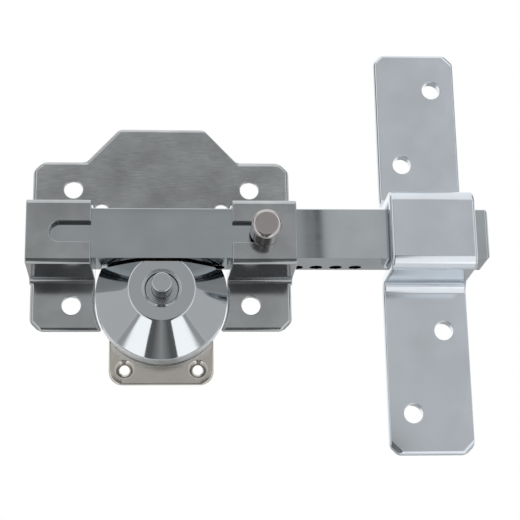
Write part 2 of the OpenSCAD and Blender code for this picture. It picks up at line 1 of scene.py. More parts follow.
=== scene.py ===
# %% [markdown]
# # A surface deadbolt
# The lock arrives as 22 solid pieces from the CAD model, each already in its place, with its
# bodies and joints. This lesson gives them their looks. The CAD meshes could simply be painted,
# but a pressed, bent or cut piece of steel never has a perfectly sharp edge, and it is the thin
# bright line along an edge that tells the eye it is metal. So the pieces that show most are
# copied and their edges softened, and the rest keep their CAD mesh.

# %% Load the imported lock and count its pieces
import math

import bmesh
import bpy
from mathutils import Euler, Matrix, Vector


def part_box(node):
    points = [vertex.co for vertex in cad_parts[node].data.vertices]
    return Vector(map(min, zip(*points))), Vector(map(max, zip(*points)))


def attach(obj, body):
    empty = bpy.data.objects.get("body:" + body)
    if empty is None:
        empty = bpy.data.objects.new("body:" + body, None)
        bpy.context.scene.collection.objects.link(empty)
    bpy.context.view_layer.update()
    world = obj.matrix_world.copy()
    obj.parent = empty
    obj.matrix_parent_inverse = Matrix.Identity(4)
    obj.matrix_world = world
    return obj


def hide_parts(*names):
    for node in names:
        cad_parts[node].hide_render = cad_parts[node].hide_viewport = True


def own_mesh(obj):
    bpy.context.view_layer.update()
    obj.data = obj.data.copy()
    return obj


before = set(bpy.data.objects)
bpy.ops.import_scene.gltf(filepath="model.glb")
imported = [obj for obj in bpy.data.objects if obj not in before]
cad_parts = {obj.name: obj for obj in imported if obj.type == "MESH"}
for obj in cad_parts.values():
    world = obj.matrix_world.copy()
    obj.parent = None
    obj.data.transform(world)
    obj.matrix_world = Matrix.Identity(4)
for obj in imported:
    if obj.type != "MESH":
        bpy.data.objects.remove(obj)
scene = bpy.context.scene
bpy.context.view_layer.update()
MM = 0.001
print("pieces in the CAD model:", len(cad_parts))

# %% [markdown]
# ## Two small tools for materials
# Paint colours are written the way a colour picker shows them, as sRGB hex, while Blender
# calculates in linear light, so one function turns the first into the second. Shader trees are
# long when written node by node. One helper adds a node, sets it up and links it, which keeps
# each material short enough to read as a recipe.


# %% Colour and node helpers
def linear(hex_colour):
    channels = [int(hex_colour[i:i + 2], 16) / 255 for i in (1, 3, 5)]
    return tuple(c / 12.92 if c <= 0.04045 else ((c + 0.055) / 1.055) ** 2.4
                 for c in channels) + (1,)


def add_node(tree, kind, inputs=None, **settings):
    """Adds a node. An input's value may be a number, a colour or another node's output."""
    node = tree.nodes.new(kind)
    for name, value in settings.items():
        setattr(node, name, value)
    for name, value in (inputs or {}).items():
        if isinstance(value, bpy.types.NodeSocket):
            tree.links.new(value, node.inputs[name])
        else:
            node.inputs[name].default_value = value
    return node


print("linear value of #8C8E90:", [round(c, 3) for c in linear("#8C8E90")[:3]])

# %% [markdown]
# ## Plated steel
# Nearly everything on this lock is steel with a thin coat of nickel. What differs is how the
# surface was made before plating: rolled and brushed sheet, drawn bar, turned cone. A painted
# picture could carry those marks, but it would stretch over the bends. Noise that is computed
# from the place of each point in millimetres has no seams, so every metal here is one recipe:
# a tint, a roughness, and a grain that is long one way and short across. The real grain is
# finer than a pixel of the picture, so it is drawn coarser here.


# %% The recipe for a plated metal with a straight grain
def grained_metal(name, tint, roughness, grain_mm, streak=0.05, bump=0.02, cloud_mm=11.0,
                  cloud=0.06, brushed_only=None):
    """grain_mm is the size of one streak along X, Y and Z. brushed_only limits the grain to
    what lies behind a depth and above a height, both in mm."""
    material = bpy.data.materials.new(name)
    material.use_nodes = True
    tree = material.node_tree
    tree.nodes.clear()
    place = add_node(tree, "ShaderNodeTexCoord").outputs["Object"]
    along = add_node(tree, "ShaderNodeMapping", {
        "Vector": place, "Scale": tuple(1 / (g * MM) for g in grain_mm)})
    grain = add_node(tree, "ShaderNodeTexNoise", {
        "Vector": along.outputs["Vector"], "Scale": 1.0, "Detail": 4.0,
        "Roughness": 0.65}).outputs["Fac"]
    if brushed_only:
        depth, low = brushed_only
        parts = add_node(tree, "ShaderNodeSeparateXYZ", {"Vector": place})
        behind = add_node(tree, "ShaderNodeMapRange", {
            "Value": parts.outputs["Y"], "From Min": -(depth + 0.6) * MM, "From Max": -depth * MM})
        above = add_node(tree, "ShaderNodeMapRange", {
            "Value": parts.outputs["Z"], "From Min": low * MM, "From Max": (low + 1) * MM})
        zone = add_node(tree, "ShaderNodeMath", {
            0: behind.outputs["Result"], 1: above.outputs["Result"]}, operation="MULTIPLY")
        grain = add_node(tree, "ShaderNodeMix", {
            0: zone.outputs["Value"], 2: 0.5, 3: grain}, data_type="FLOAT").outputs[0]
    clouds = add_node(tree, "ShaderNodeTexNoise", {
        "Vector": place, "Scale": 1 / (cloud_mm * MM), "Detail": 3.0}).outputs["Fac"]
    # The streaks lighten and darken the tint a little, and so do broad clouds of plating
    streaks = add_node(tree, "ShaderNodeMapRange", {
        "Value": grain, "From Min": 0.3, "From Max": 0.7, "To Min": 1 - streak,
        "To Max": 1 + streak}).outputs["Result"]
    patches = add_node(tree, "ShaderNodeMapRange", {
        "Value": clouds, "From Min": 0.3, "From Max": 0.7, "To Min": 1 - cloud,
        "To Max": 1 + cloud}).outputs["Result"]
    shade = add_node(tree, "ShaderNodeMath", {0: streaks, 1: patches}, operation="MULTIPLY")
    colour = add_node(tree, "ShaderNodeVectorMath", {
        0: linear(tint)[:3], 1: shade.outputs["Value"]}, operation="MULTIPLY")
    # Where the grain is raised and where the clouds are thick, the plating is duller
    dull = add_node(tree, "ShaderNodeMapRange", {
        "Value": clouds, "From Min": 0.3, "From Max": 0.7, "To Min": roughness * 0.85,
        "To Max": roughness * 1.2})
    duller = add_node(tree, "ShaderNodeMath", {
        0: add_node(tree, "ShaderNodeMath", {0: grain, 1: 0.5}, operation="SUBTRACT"
                    ).outputs["Value"], 1: 3 * streak, 2: dull.outputs["Result"]},
        operation="MULTIPLY_ADD")
    relief = add_node(tree, "ShaderNodeBump", {
        "Height": grain, "Strength": bump, "Distance": 0.1 * MM})
    shader = add_node(tree, "ShaderNodeBsdfPrincipled", {
        "Base Color": colour.outputs["Vector"], "Metallic": 1.0,
        "Roughness": duller.outputs["Value"], "Normal": relief.outputs["Normal"]})
    add_node(tree, "ShaderNodeOutputMaterial", {"Surface": shader.outputs["BSDF"]})
    return material


# Rolled sheet, nickel-plated: brushed on the upper plate, and polished by the press where it bends
case_steel = grained_metal("nickel_plated_brushed_sheet", "#ADB0B2", 0.14, (5, 0.5, 0.2),
                           streak=0.1, bump=0.12, cloud=0.13, brushed_only=(2.2, 9.5))
# Cold-drawn square bar: smooth, with faint lines along the drawing direction
bolt_steel = grained_metal("nickel_plated_drawn_bar", "#AFB5B8", 0.045, (60, 1.4, 0.9),
                           streak=0.01, bump=0.004)
# Thick strip, tumbled before plating: brighter, soft and slightly blue
strike_steel = grained_metal("nickel_plated_tumbled_strip", "#C9CFD5", 0.13, (14, 3, 24),
                             streak=0.02, bump=0.01, cloud=0.04)
# Thin warm sheet, plated without brushing
plate_nickel = grained_metal("warm_nickel_sheet", "#CAC6BF", 0.2, (3, 3, 3), bump=0.03)
# Cover's base, a stamped ring
base_steel = grained_metal("plated_stamped_ring", "#D8DADC", 0.3, (2, 2, 2))
# The rim of the cover is rolled after spinning and left satin, and its tint is painted much paler
# than the cone's, a painted sheen of light from below, so that it glows softly
satin_rim_painted_paler = grained_metal("satin_rim_with_painted_sheen", "#E9EEF2", 0.55, (1.5, 6, 1.5), streak=0.03)
# Plain turned steel of screws and pins, unplated and a little darker
pin_steel = grained_metal("plain_turned_steel", "#8C8E90", 0.28, (0.4, 4, 0.4), streak=0.1)
# Spring steel: bright and smooth, drawn or rolled
spring_steel = grained_metal("bright_spring_steel", "#A9A69C", 0.22, (6, 6, 0.5), streak=0.06)
# Stamped steel with a yellow zinc coat, which turns light straw-coloured
pinion_steel = grained_metal("yellow_zinc_steel", "#B5A67E", 0.3, (1.2, 1.2, 1.2), streak=0.1)
# Turned brass: warm yellow, with fine rings too small to show
bush_brass = grained_metal("turned_brass", "#C7A55C", 0.25, (0.6, 5, 0.6), streak=0.08)
print("straight-grained metals:", [m.name for m in bpy.data.materials])

# %% [markdown]
# ## Turned metal
# The cone, the spindle, the button and the knob are cut on a lathe, which leaves rings round
# the axis instead of straight lines. The rings are a wave that depends on the distance from the
# axis, so the pattern has to know where that axis is: a Mapping node moves it to the origin.


# %% The recipe for a turned metal
def turned_metal(name, tint, roughness, axis_mm, ring_mm=0.5, streak=0.05, bump=0.02):
    """axis_mm is where the lathe's axis, which runs along Y, crosses X and Z."""
    material = bpy.data.materials.new(name)
    material.use_nodes = True
    tree = material.node_tree
    tree.nodes.clear()
    place = add_node(tree, "ShaderNodeTexCoord").outputs["Object"]
    centred = add_node(tree, "ShaderNodeMapping", {
        "Vector": place, "Location": (-axis_mm[0] * MM, 0, -axis_mm[1] * MM)}).outputs["Vector"]
    # A wave's scale of 1 gives one ring in 2 pi / 20 of a metre
    rings = add_node(tree, "ShaderNodeTexWave", {
        "Vector": centred, "Scale": 2 * math.pi / 20 / (ring_mm * MM), "Distortion": 0.6,
        "Detail": 1.0, "Detail Scale": 2.0}, wave_type="RINGS", rings_direction="Y")
    cloud = add_node(tree, "ShaderNodeTexNoise", {
        "Vector": centred, "Scale": 1 / (5 * MM), "Detail": 3.0})
    shade = add_node(tree, "ShaderNodeMapRange", {
        "Value": rings.outputs["Fac"], "To Min": 1 - streak, "To Max": 1.0})
    colour = add_node(tree, "ShaderNodeVectorMath", {
        0: linear(tint)[:3], 1: shade.outputs["Result"]}, operation="MULTIPLY")
    dull = add_node(tree, "ShaderNodeMapRange", {
        "Value": cloud.outputs["Fac"], "From Min": 0.3, "From Max": 0.7,
        "To Min": roughness * 0.8, "To Max": roughness * 1.25})
    relief = add_node(tree, "ShaderNodeBump", {
        "Height": rings.outputs["Fac"], "Strength": bump, "Distance": 0.05 * MM})
    shader = add_node(tree, "ShaderNodeBsdfPrincipled", {
        "Base Color": colour.outputs["Vector"], "Metallic": 1.0,
        "Roughness": dull.outputs["Result"], "Normal": relief.outputs["Normal"]})
    add_node(tree, "ShaderNodeOutputMaterial", {"Surface": shader.outputs["BSDF"]})
    return material


key_axis = (0, -17.3)
knob_axis = (30.8, -0.8)
# Turned, polished and plated: a blue-grey mirror with only a faint trace of rings
cover_chrome = turned_metal("polished_nickel_cone", "#BDC1C4", 0.07, key_axis, 0.9, 0.015, 0.0)
# The spindle's and the button's faces are left as turned, so they are duller
spindle_steel = turned_metal("plated_turned_spindle", "#B9BBBD", 0.2, key_axis, 0.45, 0.1)
button_steel = turned_metal("plated_turned_button", "#C2C6C8", 0.16, key_axis, 0.4, 0.08)
# The knob has a warmer coat, polished until it almost mirrors
knob_nickel = turned_metal("warm_nickel_knob", "#B6B2B1", 0.12, knob_axis, 0.55, 0.12)
print("turned metals added, materials so far:", len(bpy.data.materials))

# %% [markdown]
# ## Nylon
# The two blocks that carry the bolt are moulded in natural nylon, milky and faintly see-through.
# A plain white would look like paint. A little subsurface scattering lets light soften their
# edges, and a fine grain stands for the eroded mould.

# %% Natural nylon
nylon = bpy.data.materials.new("natural_moulded_nylon")
nylon.use_nodes = True
tree = nylon.node_tree
tree.nodes.clear()
place = add_node(tree, "ShaderNodeTexCoord").outputs["Object"]
# The mould's grain is about 0.5 mm, just large enough to show close up
grain = add_node(tree, "ShaderNodeTexNoise", {
    "Vector": place, "Scale": 1 / (0.5 * MM), "Detail": 2.0})
tone = add_node(tree, "ShaderNodeMapRange", {
    "Value": grain.outputs["Fac"], "To Min": 0.92, "To Max": 1.0})
milky = add_node(tree, "ShaderNodeVectorMath", {
    0: linear("#DBD7CB")[:3], 1: tone.outputs["Result"]}, operation="MULTIPLY")
relief = add_node(tree, "ShaderNodeBump", {
    "Height": grain.outputs["Fac"], "Strength": 0.08, "Distance": 0.05 * MM})
shader = add_node(tree, "ShaderNodeBsdfPrincipled", {
    "Base Color": milky.outputs["Vector"], "Roughness": 0.42, "IOR": 1.53,
    "Subsurface Weight": 0.25, "Subsurface Scale": 1 * MM, "Normal": relief.outputs["Normal"]})
add_node(tree, "ShaderNodeOutputMaterial", {"Surface": shader.outputs["BSDF"]})
print("nylon ready")

# %% [markdown]
# ## Softened edges
# A press leaves a small rounding on a sheet's edges and a tumbler a larger one. It could be
# modelled by hand, edge by edge. Here each copy is cleaned first: its loose triangles are
# merged and those that lie flat are joined, so that only real edges are left. Each sharp edge
# gets a weight, small round a screw hole and full elsewhere, and a Bevel modifier rounds it by
# that weight.


# %% Copy a CAD piece and round its edges
sharp_angle = math.radians(32)
largest_rim = 8 * MM


def softened(node, name, width_mm, hole_share, material, body, segments=3,
             share_at=lambda place: 1.0, join_flat=True):
    """hole_share makes the rounding smaller on hole rims, and share_at by the edge's place.
    join_flat makes one face of the triangles that lie flat together."""
    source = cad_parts[node]
    mesh = bpy.data.meshes.new(name)
    bm = bmesh.new()
    bm.from_mesh(source.data)
    bmesh.ops.remove_doubles(bm, verts=bm.verts, dist=0.0005 * MM)
    if join_flat:
        bmesh.ops.dissolve_limit(
            bm, angle_limit=math.radians(0.4), verts=bm.verts, edges=bm.edges)
    weight = bm.edges.layers.float.new("bevel_weight_edge")
    sharp = [e for e in bm.edges
             if len(e.link_faces) == 2 and e.calc_face_angle() > sharp_angle]
    # Sharp edges that hang together in a loop no larger than the largest rim are a hole's rim
    at_vertex = {}
    for edge in sharp:
        for vertex in edge.verts:
            at_vertex.setdefault(vertex, []).append(edge)
    left = set(sharp)
    rims = 0
    while left:
        island, reach = [], [left.pop()]
        while reach:
            edge = reach.pop()
            island.append(edge)
            for vertex in edge.verts:
                for other in at_vertex[vertex]:
                    if other in left:
                        left.remove(other)
                        reach.append(other)
        places = [v.co for e in island for v in e.verts]
        size = max(max(p[i] for p in places) - min(p[i] for p in places) for i in range(3))
        rims += size < largest_rim
        for edge in island:
            edge[weight] = (hole_share if size < largest_rim
                            else share_at((edge.verts[0].co + edge.verts[1].co) / 2))
    bm.to_mesh(mesh)
    bm.free()
    mesh.materials.clear()
    mesh.materials.append(material)
    piece = bpy.data.objects.new(name, mesh)
    scene.collection.objects.link(piece)
    mesh.shade_smooth()
    rounding = piece.modifiers.new("rounded_edges", "BEVEL")
    rounding.limit_method = "WEIGHT"
    rounding.width = width_mm * MM
    rounding.segments = segments
    rounding.use_clamp_overlap = False
    # Large flat faces decide the shading, so that only the rounded edges look curved
    flatness = piece.modifiers.new("flat_faces_stay_flat", "WEIGHTED_NORMAL")
    flatness.keep_sharp = True
    if not join_flat:
        # Small triangles would lose to the rounding by area, so the flats are marked as strong
        rounding.face_strength_mode = "FSTR_ALL"
        flatness.use_face_influence = True
        rounding.loop_slide = False
    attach(piece, body)
    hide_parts(node)
    print(f"{name}: {len(mesh.polygons)} faces, {len(sharp)} sharp edges, {rims} hole rims")


# The bridges and their bends lie within this height above and below the bolt's middle
bolt_middle_z, bridge_reach = -0.6 * MM, 12.1 * MM


def case_share(place):
    """Wide on the flat plate and flanges, fine on the bridges and their bends."""
    return 1.0 if abs(place.z - bolt_middle_z) > bridge_reach else 0.25


softened("case_plate", "pressed_case", 1.1, 0.25, case_steel, "case",
         share_at=case_share)
softened("bolt_bar", "drawn_bolt", 0.35, 0.5, bolt_steel, "bolt")
softened("strike_bracket", "bent_strike", 1.0, 0.25, strike_steel, "case")
softened("cylinder_plate", "thin_plate", 0.5, 0.3, plate_nickel, "case",
         join_flat=False)
for side in ("left", "right"):
    softened(side + "_bolt_guide", side + "_guide_block", 0.4, 1, nylon, "case")

# %% [markdown]
# ## Turned pieces
# The cover and the knob came off a lathe, and they show it most: on a cone that mirrors like
# this, one crooked normal draws a streak. Rounding their CAD meshes would keep the long thin
# triangles of the CAD model. So both are spun again from a profile, pairs of radius and depth,
# with a small round cut on each corner. Narrow rings beside each round keep the flats flat.


# %% A lathe
def rounded_profile(corners, steps=5):
    """Turns (radius, depth, round) corners, all in mm, into points."""
    points = []
    for i, (r, d, soft) in enumerate(corners):
        here = Vector((r, d))
        if not soft:
            points.append(here)
            continue
        before = (Vector(corners[i - 1][:2]) - here).normalized()
        after = (Vector(corners[(i + 1) % len(corners)][:2]) - here).normalized()
        points.append(here + before * (soft + 0.08))
        for k in range(steps + 1):
            t = k / steps
            points.append((1 - t) ** 2 * (here + before * soft) + 2 * t * (1 - t) * here
                          + t * t * (here + after * soft))
        points.append(here + after * (soft + 0.08))
    return points


def lathe(corners, axis_mm, closed, parts=160):
    """Spins a profile round an axis along Y. A closed profile is a ring, and an open one has
    its two ends on the axis."""
    bm = bmesh.new()
    rings = []
    for r, d in rounded_profile(corners):
        if r < 1e-6:
            tip = bm.verts.new((axis_mm[0] * MM, -d * MM, axis_mm[1] * MM))
            rings.append([tip] * parts)
        else:
            turns = [2 * math.pi * (k + 0.5) / parts for k in range(parts)]
            rings.append([bm.verts.new(((axis_mm[0] + r * math.cos(a)) * MM, -d * MM,
                                        (axis_mm[1] + r * math.sin(a)) * MM)) for a in turns])
    for a, b in zip(rings, rings[1:] + (rings[:1] if closed else [])):
        for k in range(parts):
            n = (k + 1) % parts
            corner = list(dict.fromkeys((a[k], a[n], b[n], b[k])))
            if len(corner) > 2:
                bm.faces.new(corner)
    bmesh.ops.recalc_face_normals(bm, faces=bm.faces)
    return bm


def finished_piece(bm, name, materials, node, body):
    """Makes the spun shape an object in a node's place, and prints both sizes."""
    mesh = bpy.data.meshes.new(name)
    bm.to_mesh(mesh)
    bm.free()
    for material in materials:
        mesh.materials.append(material)
    mesh.shade_smooth()
    mesh.set_sharp_from_angle(angle=math.radians(30))
    piece = bpy.data.objects.new(name, mesh)
    scene.collection.objects.link(piece)
    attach(piece, body)
    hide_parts(node)
    low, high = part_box(node)
    for word, pick in (("made", lambda i: [v.co[i] for v in mesh.vertices]),
                       ("in CAD", lambda i: [low[i], high[i]])):
        print(name, word, [(round(min(pick(i)) / MM, 2), round(max(pick(i)) / MM, 2))
                           for i in range(3)])


# %% The cover: a satin rim, a polished cone and a flat cut under the bolt
low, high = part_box("cone_cover")
back, front = -high[1] / MM, -low[1] / MM
rim_r = (high[0] - low[0]) / 2 / MM
hole_r, flat_r, rim_depth, wall = 5.05, 10.05, 9.0, 1.5
# The mouth of the hole is cut shallower than in the CAD model, so that it catches the light
mouth_w, mouth_depth = 0.8, 0.3
slope = (rim_r - flat_r) / (front - rim_depth)
inner_corner = rim_depth - wall * (math.sqrt(1 + slope ** 2) - 1) / slope
inner_flat_r = rim_r - wall - (front - wall - inner_corner) * slope
cover_bm = lathe([
    (rim_r, back, 0), (rim_r, rim_depth, 0.3), (flat_r, front, 0.35), (hole_r + mouth_w, front, 0.12),
    (hole_r, front - mouth_depth, 0.1), (hole_r, front - wall, 0), (inner_flat_r, front - wall, 0),
    (rim_r - wall, inner_corner, 0), (rim_r - wall, back, 0)], key_axis, closed=True)
# The outer wall of the rim takes the second material, satin with a painted paler sheen
for face in cover_bm.faces:
    face.material_index = int(abs(face.normal.y) < 0.1 and math.hypot(
        face.calc_center_median().x, face.calc_center_median().z - key_axis[1] * MM)
        > (rim_r - 0.2) * MM)
cut = bmesh.ops.bisect_plane(
    cover_bm, geom=cover_bm.verts[:] + cover_bm.edges[:] + cover_bm.faces[:], dist=1e-7,
    plane_co=(0, 0, high[2]), plane_no=(0, 0, 1), clear_outer=True)
rim = [e for e in cut["geom_cut"] if isinstance(e, bmesh.types.BMEdge) and len(e.link_faces) == 1]
bmesh.ops.holes_fill(cover_bm, edges=rim, sides=0)
bmesh.ops.recalc_face_normals(cover_bm, faces=cover_bm.faces)
open_edges = sum(len(e.link_faces) != 2 for e in cover_bm.edges)
print("cut edges:", len(rim), "open edges left:", open_edges)
finished_piece(cover_bm, "spun_cone", [cover_chrome, satin_rim_painted_paler], "cone_cover", "case")

# %% The knob, with a bore for its stud
low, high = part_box("bolt_knob")
back, front = -high[1] / MM, -low[1] / MM
knob_r = (high[0] - low[0]) / 2 / MM
bore_r, bore_depth = 2.52, 6.4
knob_bm = lathe([
    (0, back + bore_depth, 0), (bore_r, back + bore_depth, 0), (bore_r, back, 0),
    (knob_r, back, 0.3), (knob_r, front, 1.25), (0, front, 0)], knob_axis, closed=False)
finished_piece(knob_bm, "turned_knob", [knob_nickel], "bolt_knob", "bolt")

# %% The spindle and the button
softened("spindle", "turned_spindle", 0.35, 0.3, spindle_steel, "pinion")
softened("release_button", "turned_button", 0.12, 1, button_steel, "button")

# %% [markdown]
# ## Rivets and a spring by Geometry Nodes
# Three like rivets hold the cover's base, and a wire wound by one rule pushes the button. Both
# could be drawn point by point. A node tree says the rule instead, with the sizes as its inputs:
# the rivets are one shape placed on three points, and the spring is a circle swept along a
# spiral. The result is turned into a plain mesh, because an exported model keeps no modifier.


# %% Two helpers for node trees
def shape_tree(name, sizes):
    """Starts a tree with named number inputs. Returns the tree and the inputs' sockets."""
    tree = bpy.data.node_groups.new(name, "GeometryNodeTree")
    for size in sizes:
        tree.interface.new_socket(size, in_out="INPUT", socket_type="NodeSocketFloat")
    tree.interface.new_socket("Mesh", in_out="OUTPUT", socket_type="NodeSocketGeometry")
    return tree, tree.nodes.new("NodeGroupInput").outputs


def plain_piece(name, tree, sizes, shape, material, node, body):
    """Ends the tree, fills its inputs, bakes it to a mesh and puts it in a node's place."""
    real = add_node(tree, "GeometryNodeRealizeInstances", {"Geometry": shape})
    painted_mesh = add_node(tree, "GeometryNodeSetMaterial", {
        "Geometry": real.outputs["Geometry"], "Material": material})
    add_node(tree, "NodeGroupOutput", {"Mesh": painted_mesh.outputs["Geometry"]})
    piece = bpy.data.objects.new(name, bpy.data.meshes.new(name))
    scene.collection.objects.link(piece)
    maker = piece.modifiers.new("maker", "NODES")
    maker.node_group = tree
    for item in tree.interface.items_tree:
        if item.in_out == "INPUT":
            maker[item.identifier] = sizes[item.name]
    now = bpy.context.evaluated_depsgraph_get()
    mesh = bpy.data.meshes.new_from_object(piece.evaluated_get(now), depsgraph=now)
    piece.modifiers.remove(maker)
    piece.data = mesh
    mesh.name = name
    mesh.shade_smooth()
    mesh.set_sharp_from_angle(angle=math.radians(40))
    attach(piece, body)
    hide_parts(node)
    print(f"{name}: {len(mesh.polygons)} faces from", {k: round(v, 5) for k, v in sizes.items()})
    return piece


# %% The rivet tree
rivet_tree, size = shape_tree("rivets_on_a_circle", (
    "Circle radius", "First angle", "Second angle", "Third angle", "Axis height", "Shank radius",
    "Head radius", "Head height", "Length", "Tail height"))


def lifted(mesh, start, tree=rivet_tree):
    lift = add_node(tree, "ShaderNodeCombineXYZ", {"Z": start})
    return add_node(tree, "GeometryNodeTransform", {
        "Geometry": mesh, "Translation": lift.outputs["Vector"]}).outputs[0]


def round_skin(low_radius, high_radius, height, start, tree=rivet_tree):
    """The open side of a round part that stands on a height above the rivet's tail."""
    return lifted(add_node(tree, "GeometryNodeMeshCone", {
        "Vertices": 40, "Radius Bottom": low_radius, "Radius Top": high_radius, "Depth": height},
        fill_type="NONE").outputs["Mesh"], start)


def round_end(radius, start, tree=rivet_tree):
    return lifted(add_node(tree, "GeometryNodeMeshCircle", {
        "Vertices": 40, "Radius": radius}, fill_type="NGON").outputs["Mesh"], start)


# %% The rivet's profile, from its sizes
shoulder_share, crown_share = 0.94, 0.62
shoulder = add_node(rivet_tree, "ShaderNodeMath", {
    0: size["Head radius"], 1: shoulder_share}, operation="MULTIPLY").outputs["Value"]
crown = add_node(rivet_tree, "ShaderNodeMath", {
    0: size["Head radius"], 1: crown_share}, operation="MULTIPLY").outputs["Value"]
half_head = add_node(rivet_tree, "ShaderNodeMath", {
    0: size["Head height"], 1: 0.5}, operation="MULTIPLY").outputs["Value"]
head_start = add_node(rivet_tree, "ShaderNodeMath", {
    0: size["Length"], 1: size["Head height"]}, operation="SUBTRACT").outputs["Value"]
crown_start = add_node(rivet_tree, "ShaderNodeMath", {
    0: head_start, 1: half_head}, operation="ADD").outputs["Value"]
shank = add_node(rivet_tree, "ShaderNodeMath", {
    0: head_start, 1: size["Tail height"]}, operation="SUBTRACT").outputs["Value"]
foot = add_node(rivet_tree, "GeometryNodeFlipFaces", {"Mesh": round_end(size["Head radius"], 0.0)})
# Open skins from tail to crown. The one of almost no height is the underside of the head
parts = [foot.outputs["Mesh"],
         round_skin(size["Head radius"], size["Shank radius"], size["Tail height"], 0.0),
         round_skin(size["Shank radius"], size["Shank radius"], shank, size["Tail height"]),
         round_skin(size["Shank radius"], size["Head radius"], 0.001 * MM, head_start),
         round_skin(size["Head radius"], shoulder, half_head, head_start),
         round_skin(shoulder, crown, half_head, crown_start),
         round_end(crown, size["Length"])]
skins = add_node(rivet_tree, "GeometryNodeJoinGeometry")
for part in parts:
    rivet_tree.links.new(part, skins.inputs[0])
rivet = add_node(rivet_tree, "GeometryNodeMergeByDistance", {
    "Geometry": skins.outputs[0], "Distance": 0.01 * MM})
print("skins of one rivet:", len(parts))

# %% The rivet laid down, so that it points out of the door, and placed three times
laid = add_node(rivet_tree, "GeometryNodeTransform", {
    "Geometry": rivet.outputs[0], "Rotation": (math.pi / 2, 0, 0)})
angle = add_node(rivet_tree, "GeometryNodeIndexSwitch", data_type="FLOAT")
angle.index_switch_items.new()
index = add_node(rivet_tree, "GeometryNodeInputIndex")
rivet_tree.links.new(index.outputs[0], angle.inputs["Index"])
for place, name in enumerate(("First angle", "Second angle", "Third angle")):
    rivet_tree.links.new(size[name], angle.inputs[str(place)])
cosine = add_node(rivet_tree, "ShaderNodeMath", {0: angle.outputs[0]}, operation="COSINE")
sine = add_node(rivet_tree, "ShaderNodeMath", {0: angle.outputs[0]}, operation="SINE")
across = add_node(rivet_tree, "ShaderNodeMath", {
    0: size["Circle radius"], 1: cosine.outputs["Value"]}, operation="MULTIPLY")
above_axis = add_node(rivet_tree, "ShaderNodeMath", {
    0: size["Circle radius"], 1: sine.outputs["Value"]}, operation="MULTIPLY")
above = add_node(rivet_tree, "ShaderNodeMath", {
    0: above_axis.outputs["Value"], 1: size["Axis height"]}, operation="ADD")
spot = add_node(rivet_tree, "ShaderNodeCombineXYZ", {
    "X": across.outputs["Value"], "Z": above.outputs["Value"]})
spots = add_node(rivet_tree, "GeometryNodePoints", {
    "Count": 3, "Position": spot.outputs["Vector"]})
placed = add_node(rivet_tree, "GeometryNodeInstanceOnPoints", {
    "Points": spots.outputs[0], "Instance": laid.outputs[0]})

# %% Three rivets in the cover's base
low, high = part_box("base_rivets")
plain_piece("headed_rivets", rivet_tree, {
    "Circle radius": 14.2 * MM, "First angle": math.radians(25),
    "Second angle": math.radians(155), "Third angle": math.radians(270),
    "Axis height": key_axis[1] * MM, "Shank radius": 1.5 * MM, "Head radius": 2.2 * MM,
    "Head height": 0.75 * MM, "Length": -low[1], "Tail height": 0.7 * MM},
    placed.outputs[0], pin_steel, "base_rivets", "case")

# %% The spring tree and the button's spring
spring_tree, size = shape_tree("wound_spring", (
    "Turns", "Coil radius", "Wire radius", "Length", "Start", "Axis height"))
spiral = add_node(spring_tree, "GeometryNodeCurveSpiral", {
    "Resolution": 40, "Rotations": size["Turns"], "Start Radius": size["Coil radius"],
    "End Radius": size["Coil radius"], "Height": size["Length"]})
wire = add_node(spring_tree, "GeometryNodeCurvePrimitiveCircle", {
    "Resolution": 14, "Radius": size["Wire radius"]})
wound = add_node(spring_tree, "GeometryNodeCurveToMesh", {
    "Curve": spiral.outputs[0], "Profile Curve": wire.outputs[0], "Fill Caps": True})
where = add_node(spring_tree, "ShaderNodeCombineXYZ", {
    "Y": size["Start"], "Z": size["Axis height"]})
lying = add_node(spring_tree, "GeometryNodeTransform", {
    "Geometry": wound.outputs[0], "Translation": where.outputs["Vector"],
    "Rotation": (math.pi / 2, 0, 0)})

# %% Wind the button's spring and give it a mesh of its own
low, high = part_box("button_spring")
wire_r, press = 0.3 * MM, 4 * MM
wound_spring = plain_piece("wound_spring", spring_tree, {
    "Turns": 5.0, "Coil radius": (high[0] - low[0]) / 2 - wire_r, "Wire radius": wire_r,
    "Length": high[1] - low[1] - 2 * wire_r, "Start": high[1] - wire_r,
    "Axis height": key_axis[1] * MM},
    lying.outputs[0], spring_steel, "button_spring", "pinion")
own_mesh(wound_spring)

# %% [markdown]
# ## Pieces that keep their CAD mesh
# Small inner pieces are hardly seen, and the mesh from the CAD model has all their corners. They
# only take a finish, through their own material slots.

# %% Give the remaining CAD pieces their finishes
finishes = {
    "cover_base": base_steel, "slot_sleeve": pin_steel, "knob_stud": pin_steel,
    "spindle_bush": bush_brass, "tail_driver": bush_brass, "tail_pin": pin_steel,
    "spindle_clip": spring_steel, "left_drag_spring": spring_steel,
    "right_drag_spring": spring_steel, "drive_pinion": pinion_steel,
}
for node, material in finishes.items():
    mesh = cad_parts[node].data
    mesh.materials.clear()
    mesh.materials.append(material)
print("finished CAD pieces:", len(finishes))

# %% [markdown]
# ## The studio
# Polished metal shows its surroundings more than itself, so the studio is half of the picture.
# An image of a real room could be wrapped round the lock. A light tent is simpler and has no
# licence: a large shell that only mirror rays can see, bright overhead and below, a calm grey
# where the flat faces look, with two soft boxes low on either side for the cone. The lamps only
# shape the nylon and the shadow on the floor.


# %% A tent painted by direction
def direction_mask(tree, axis_value, low, high, soft):
    """1 between low and high, with soft ends."""
    up = add_node(tree, "ShaderNodeMapRange", {
        "Value": axis_value, "From Min": low - soft, "From Max": low + soft},
        interpolation_type="SMOOTHSTEP")
    down = add_node(tree, "ShaderNodeMapRange", {
        "Value": axis_value, "From Min": high - soft, "From Max": high + soft,
        "To Min": 1.0, "To Max": 0.0}, interpolation_type="SMOOTHSTEP")
    return add_node(tree, "ShaderNodeMath", {
        0: up.outputs["Result"], 1: down.outputs["Result"]}, operation="MULTIPLY").outputs["Value"]


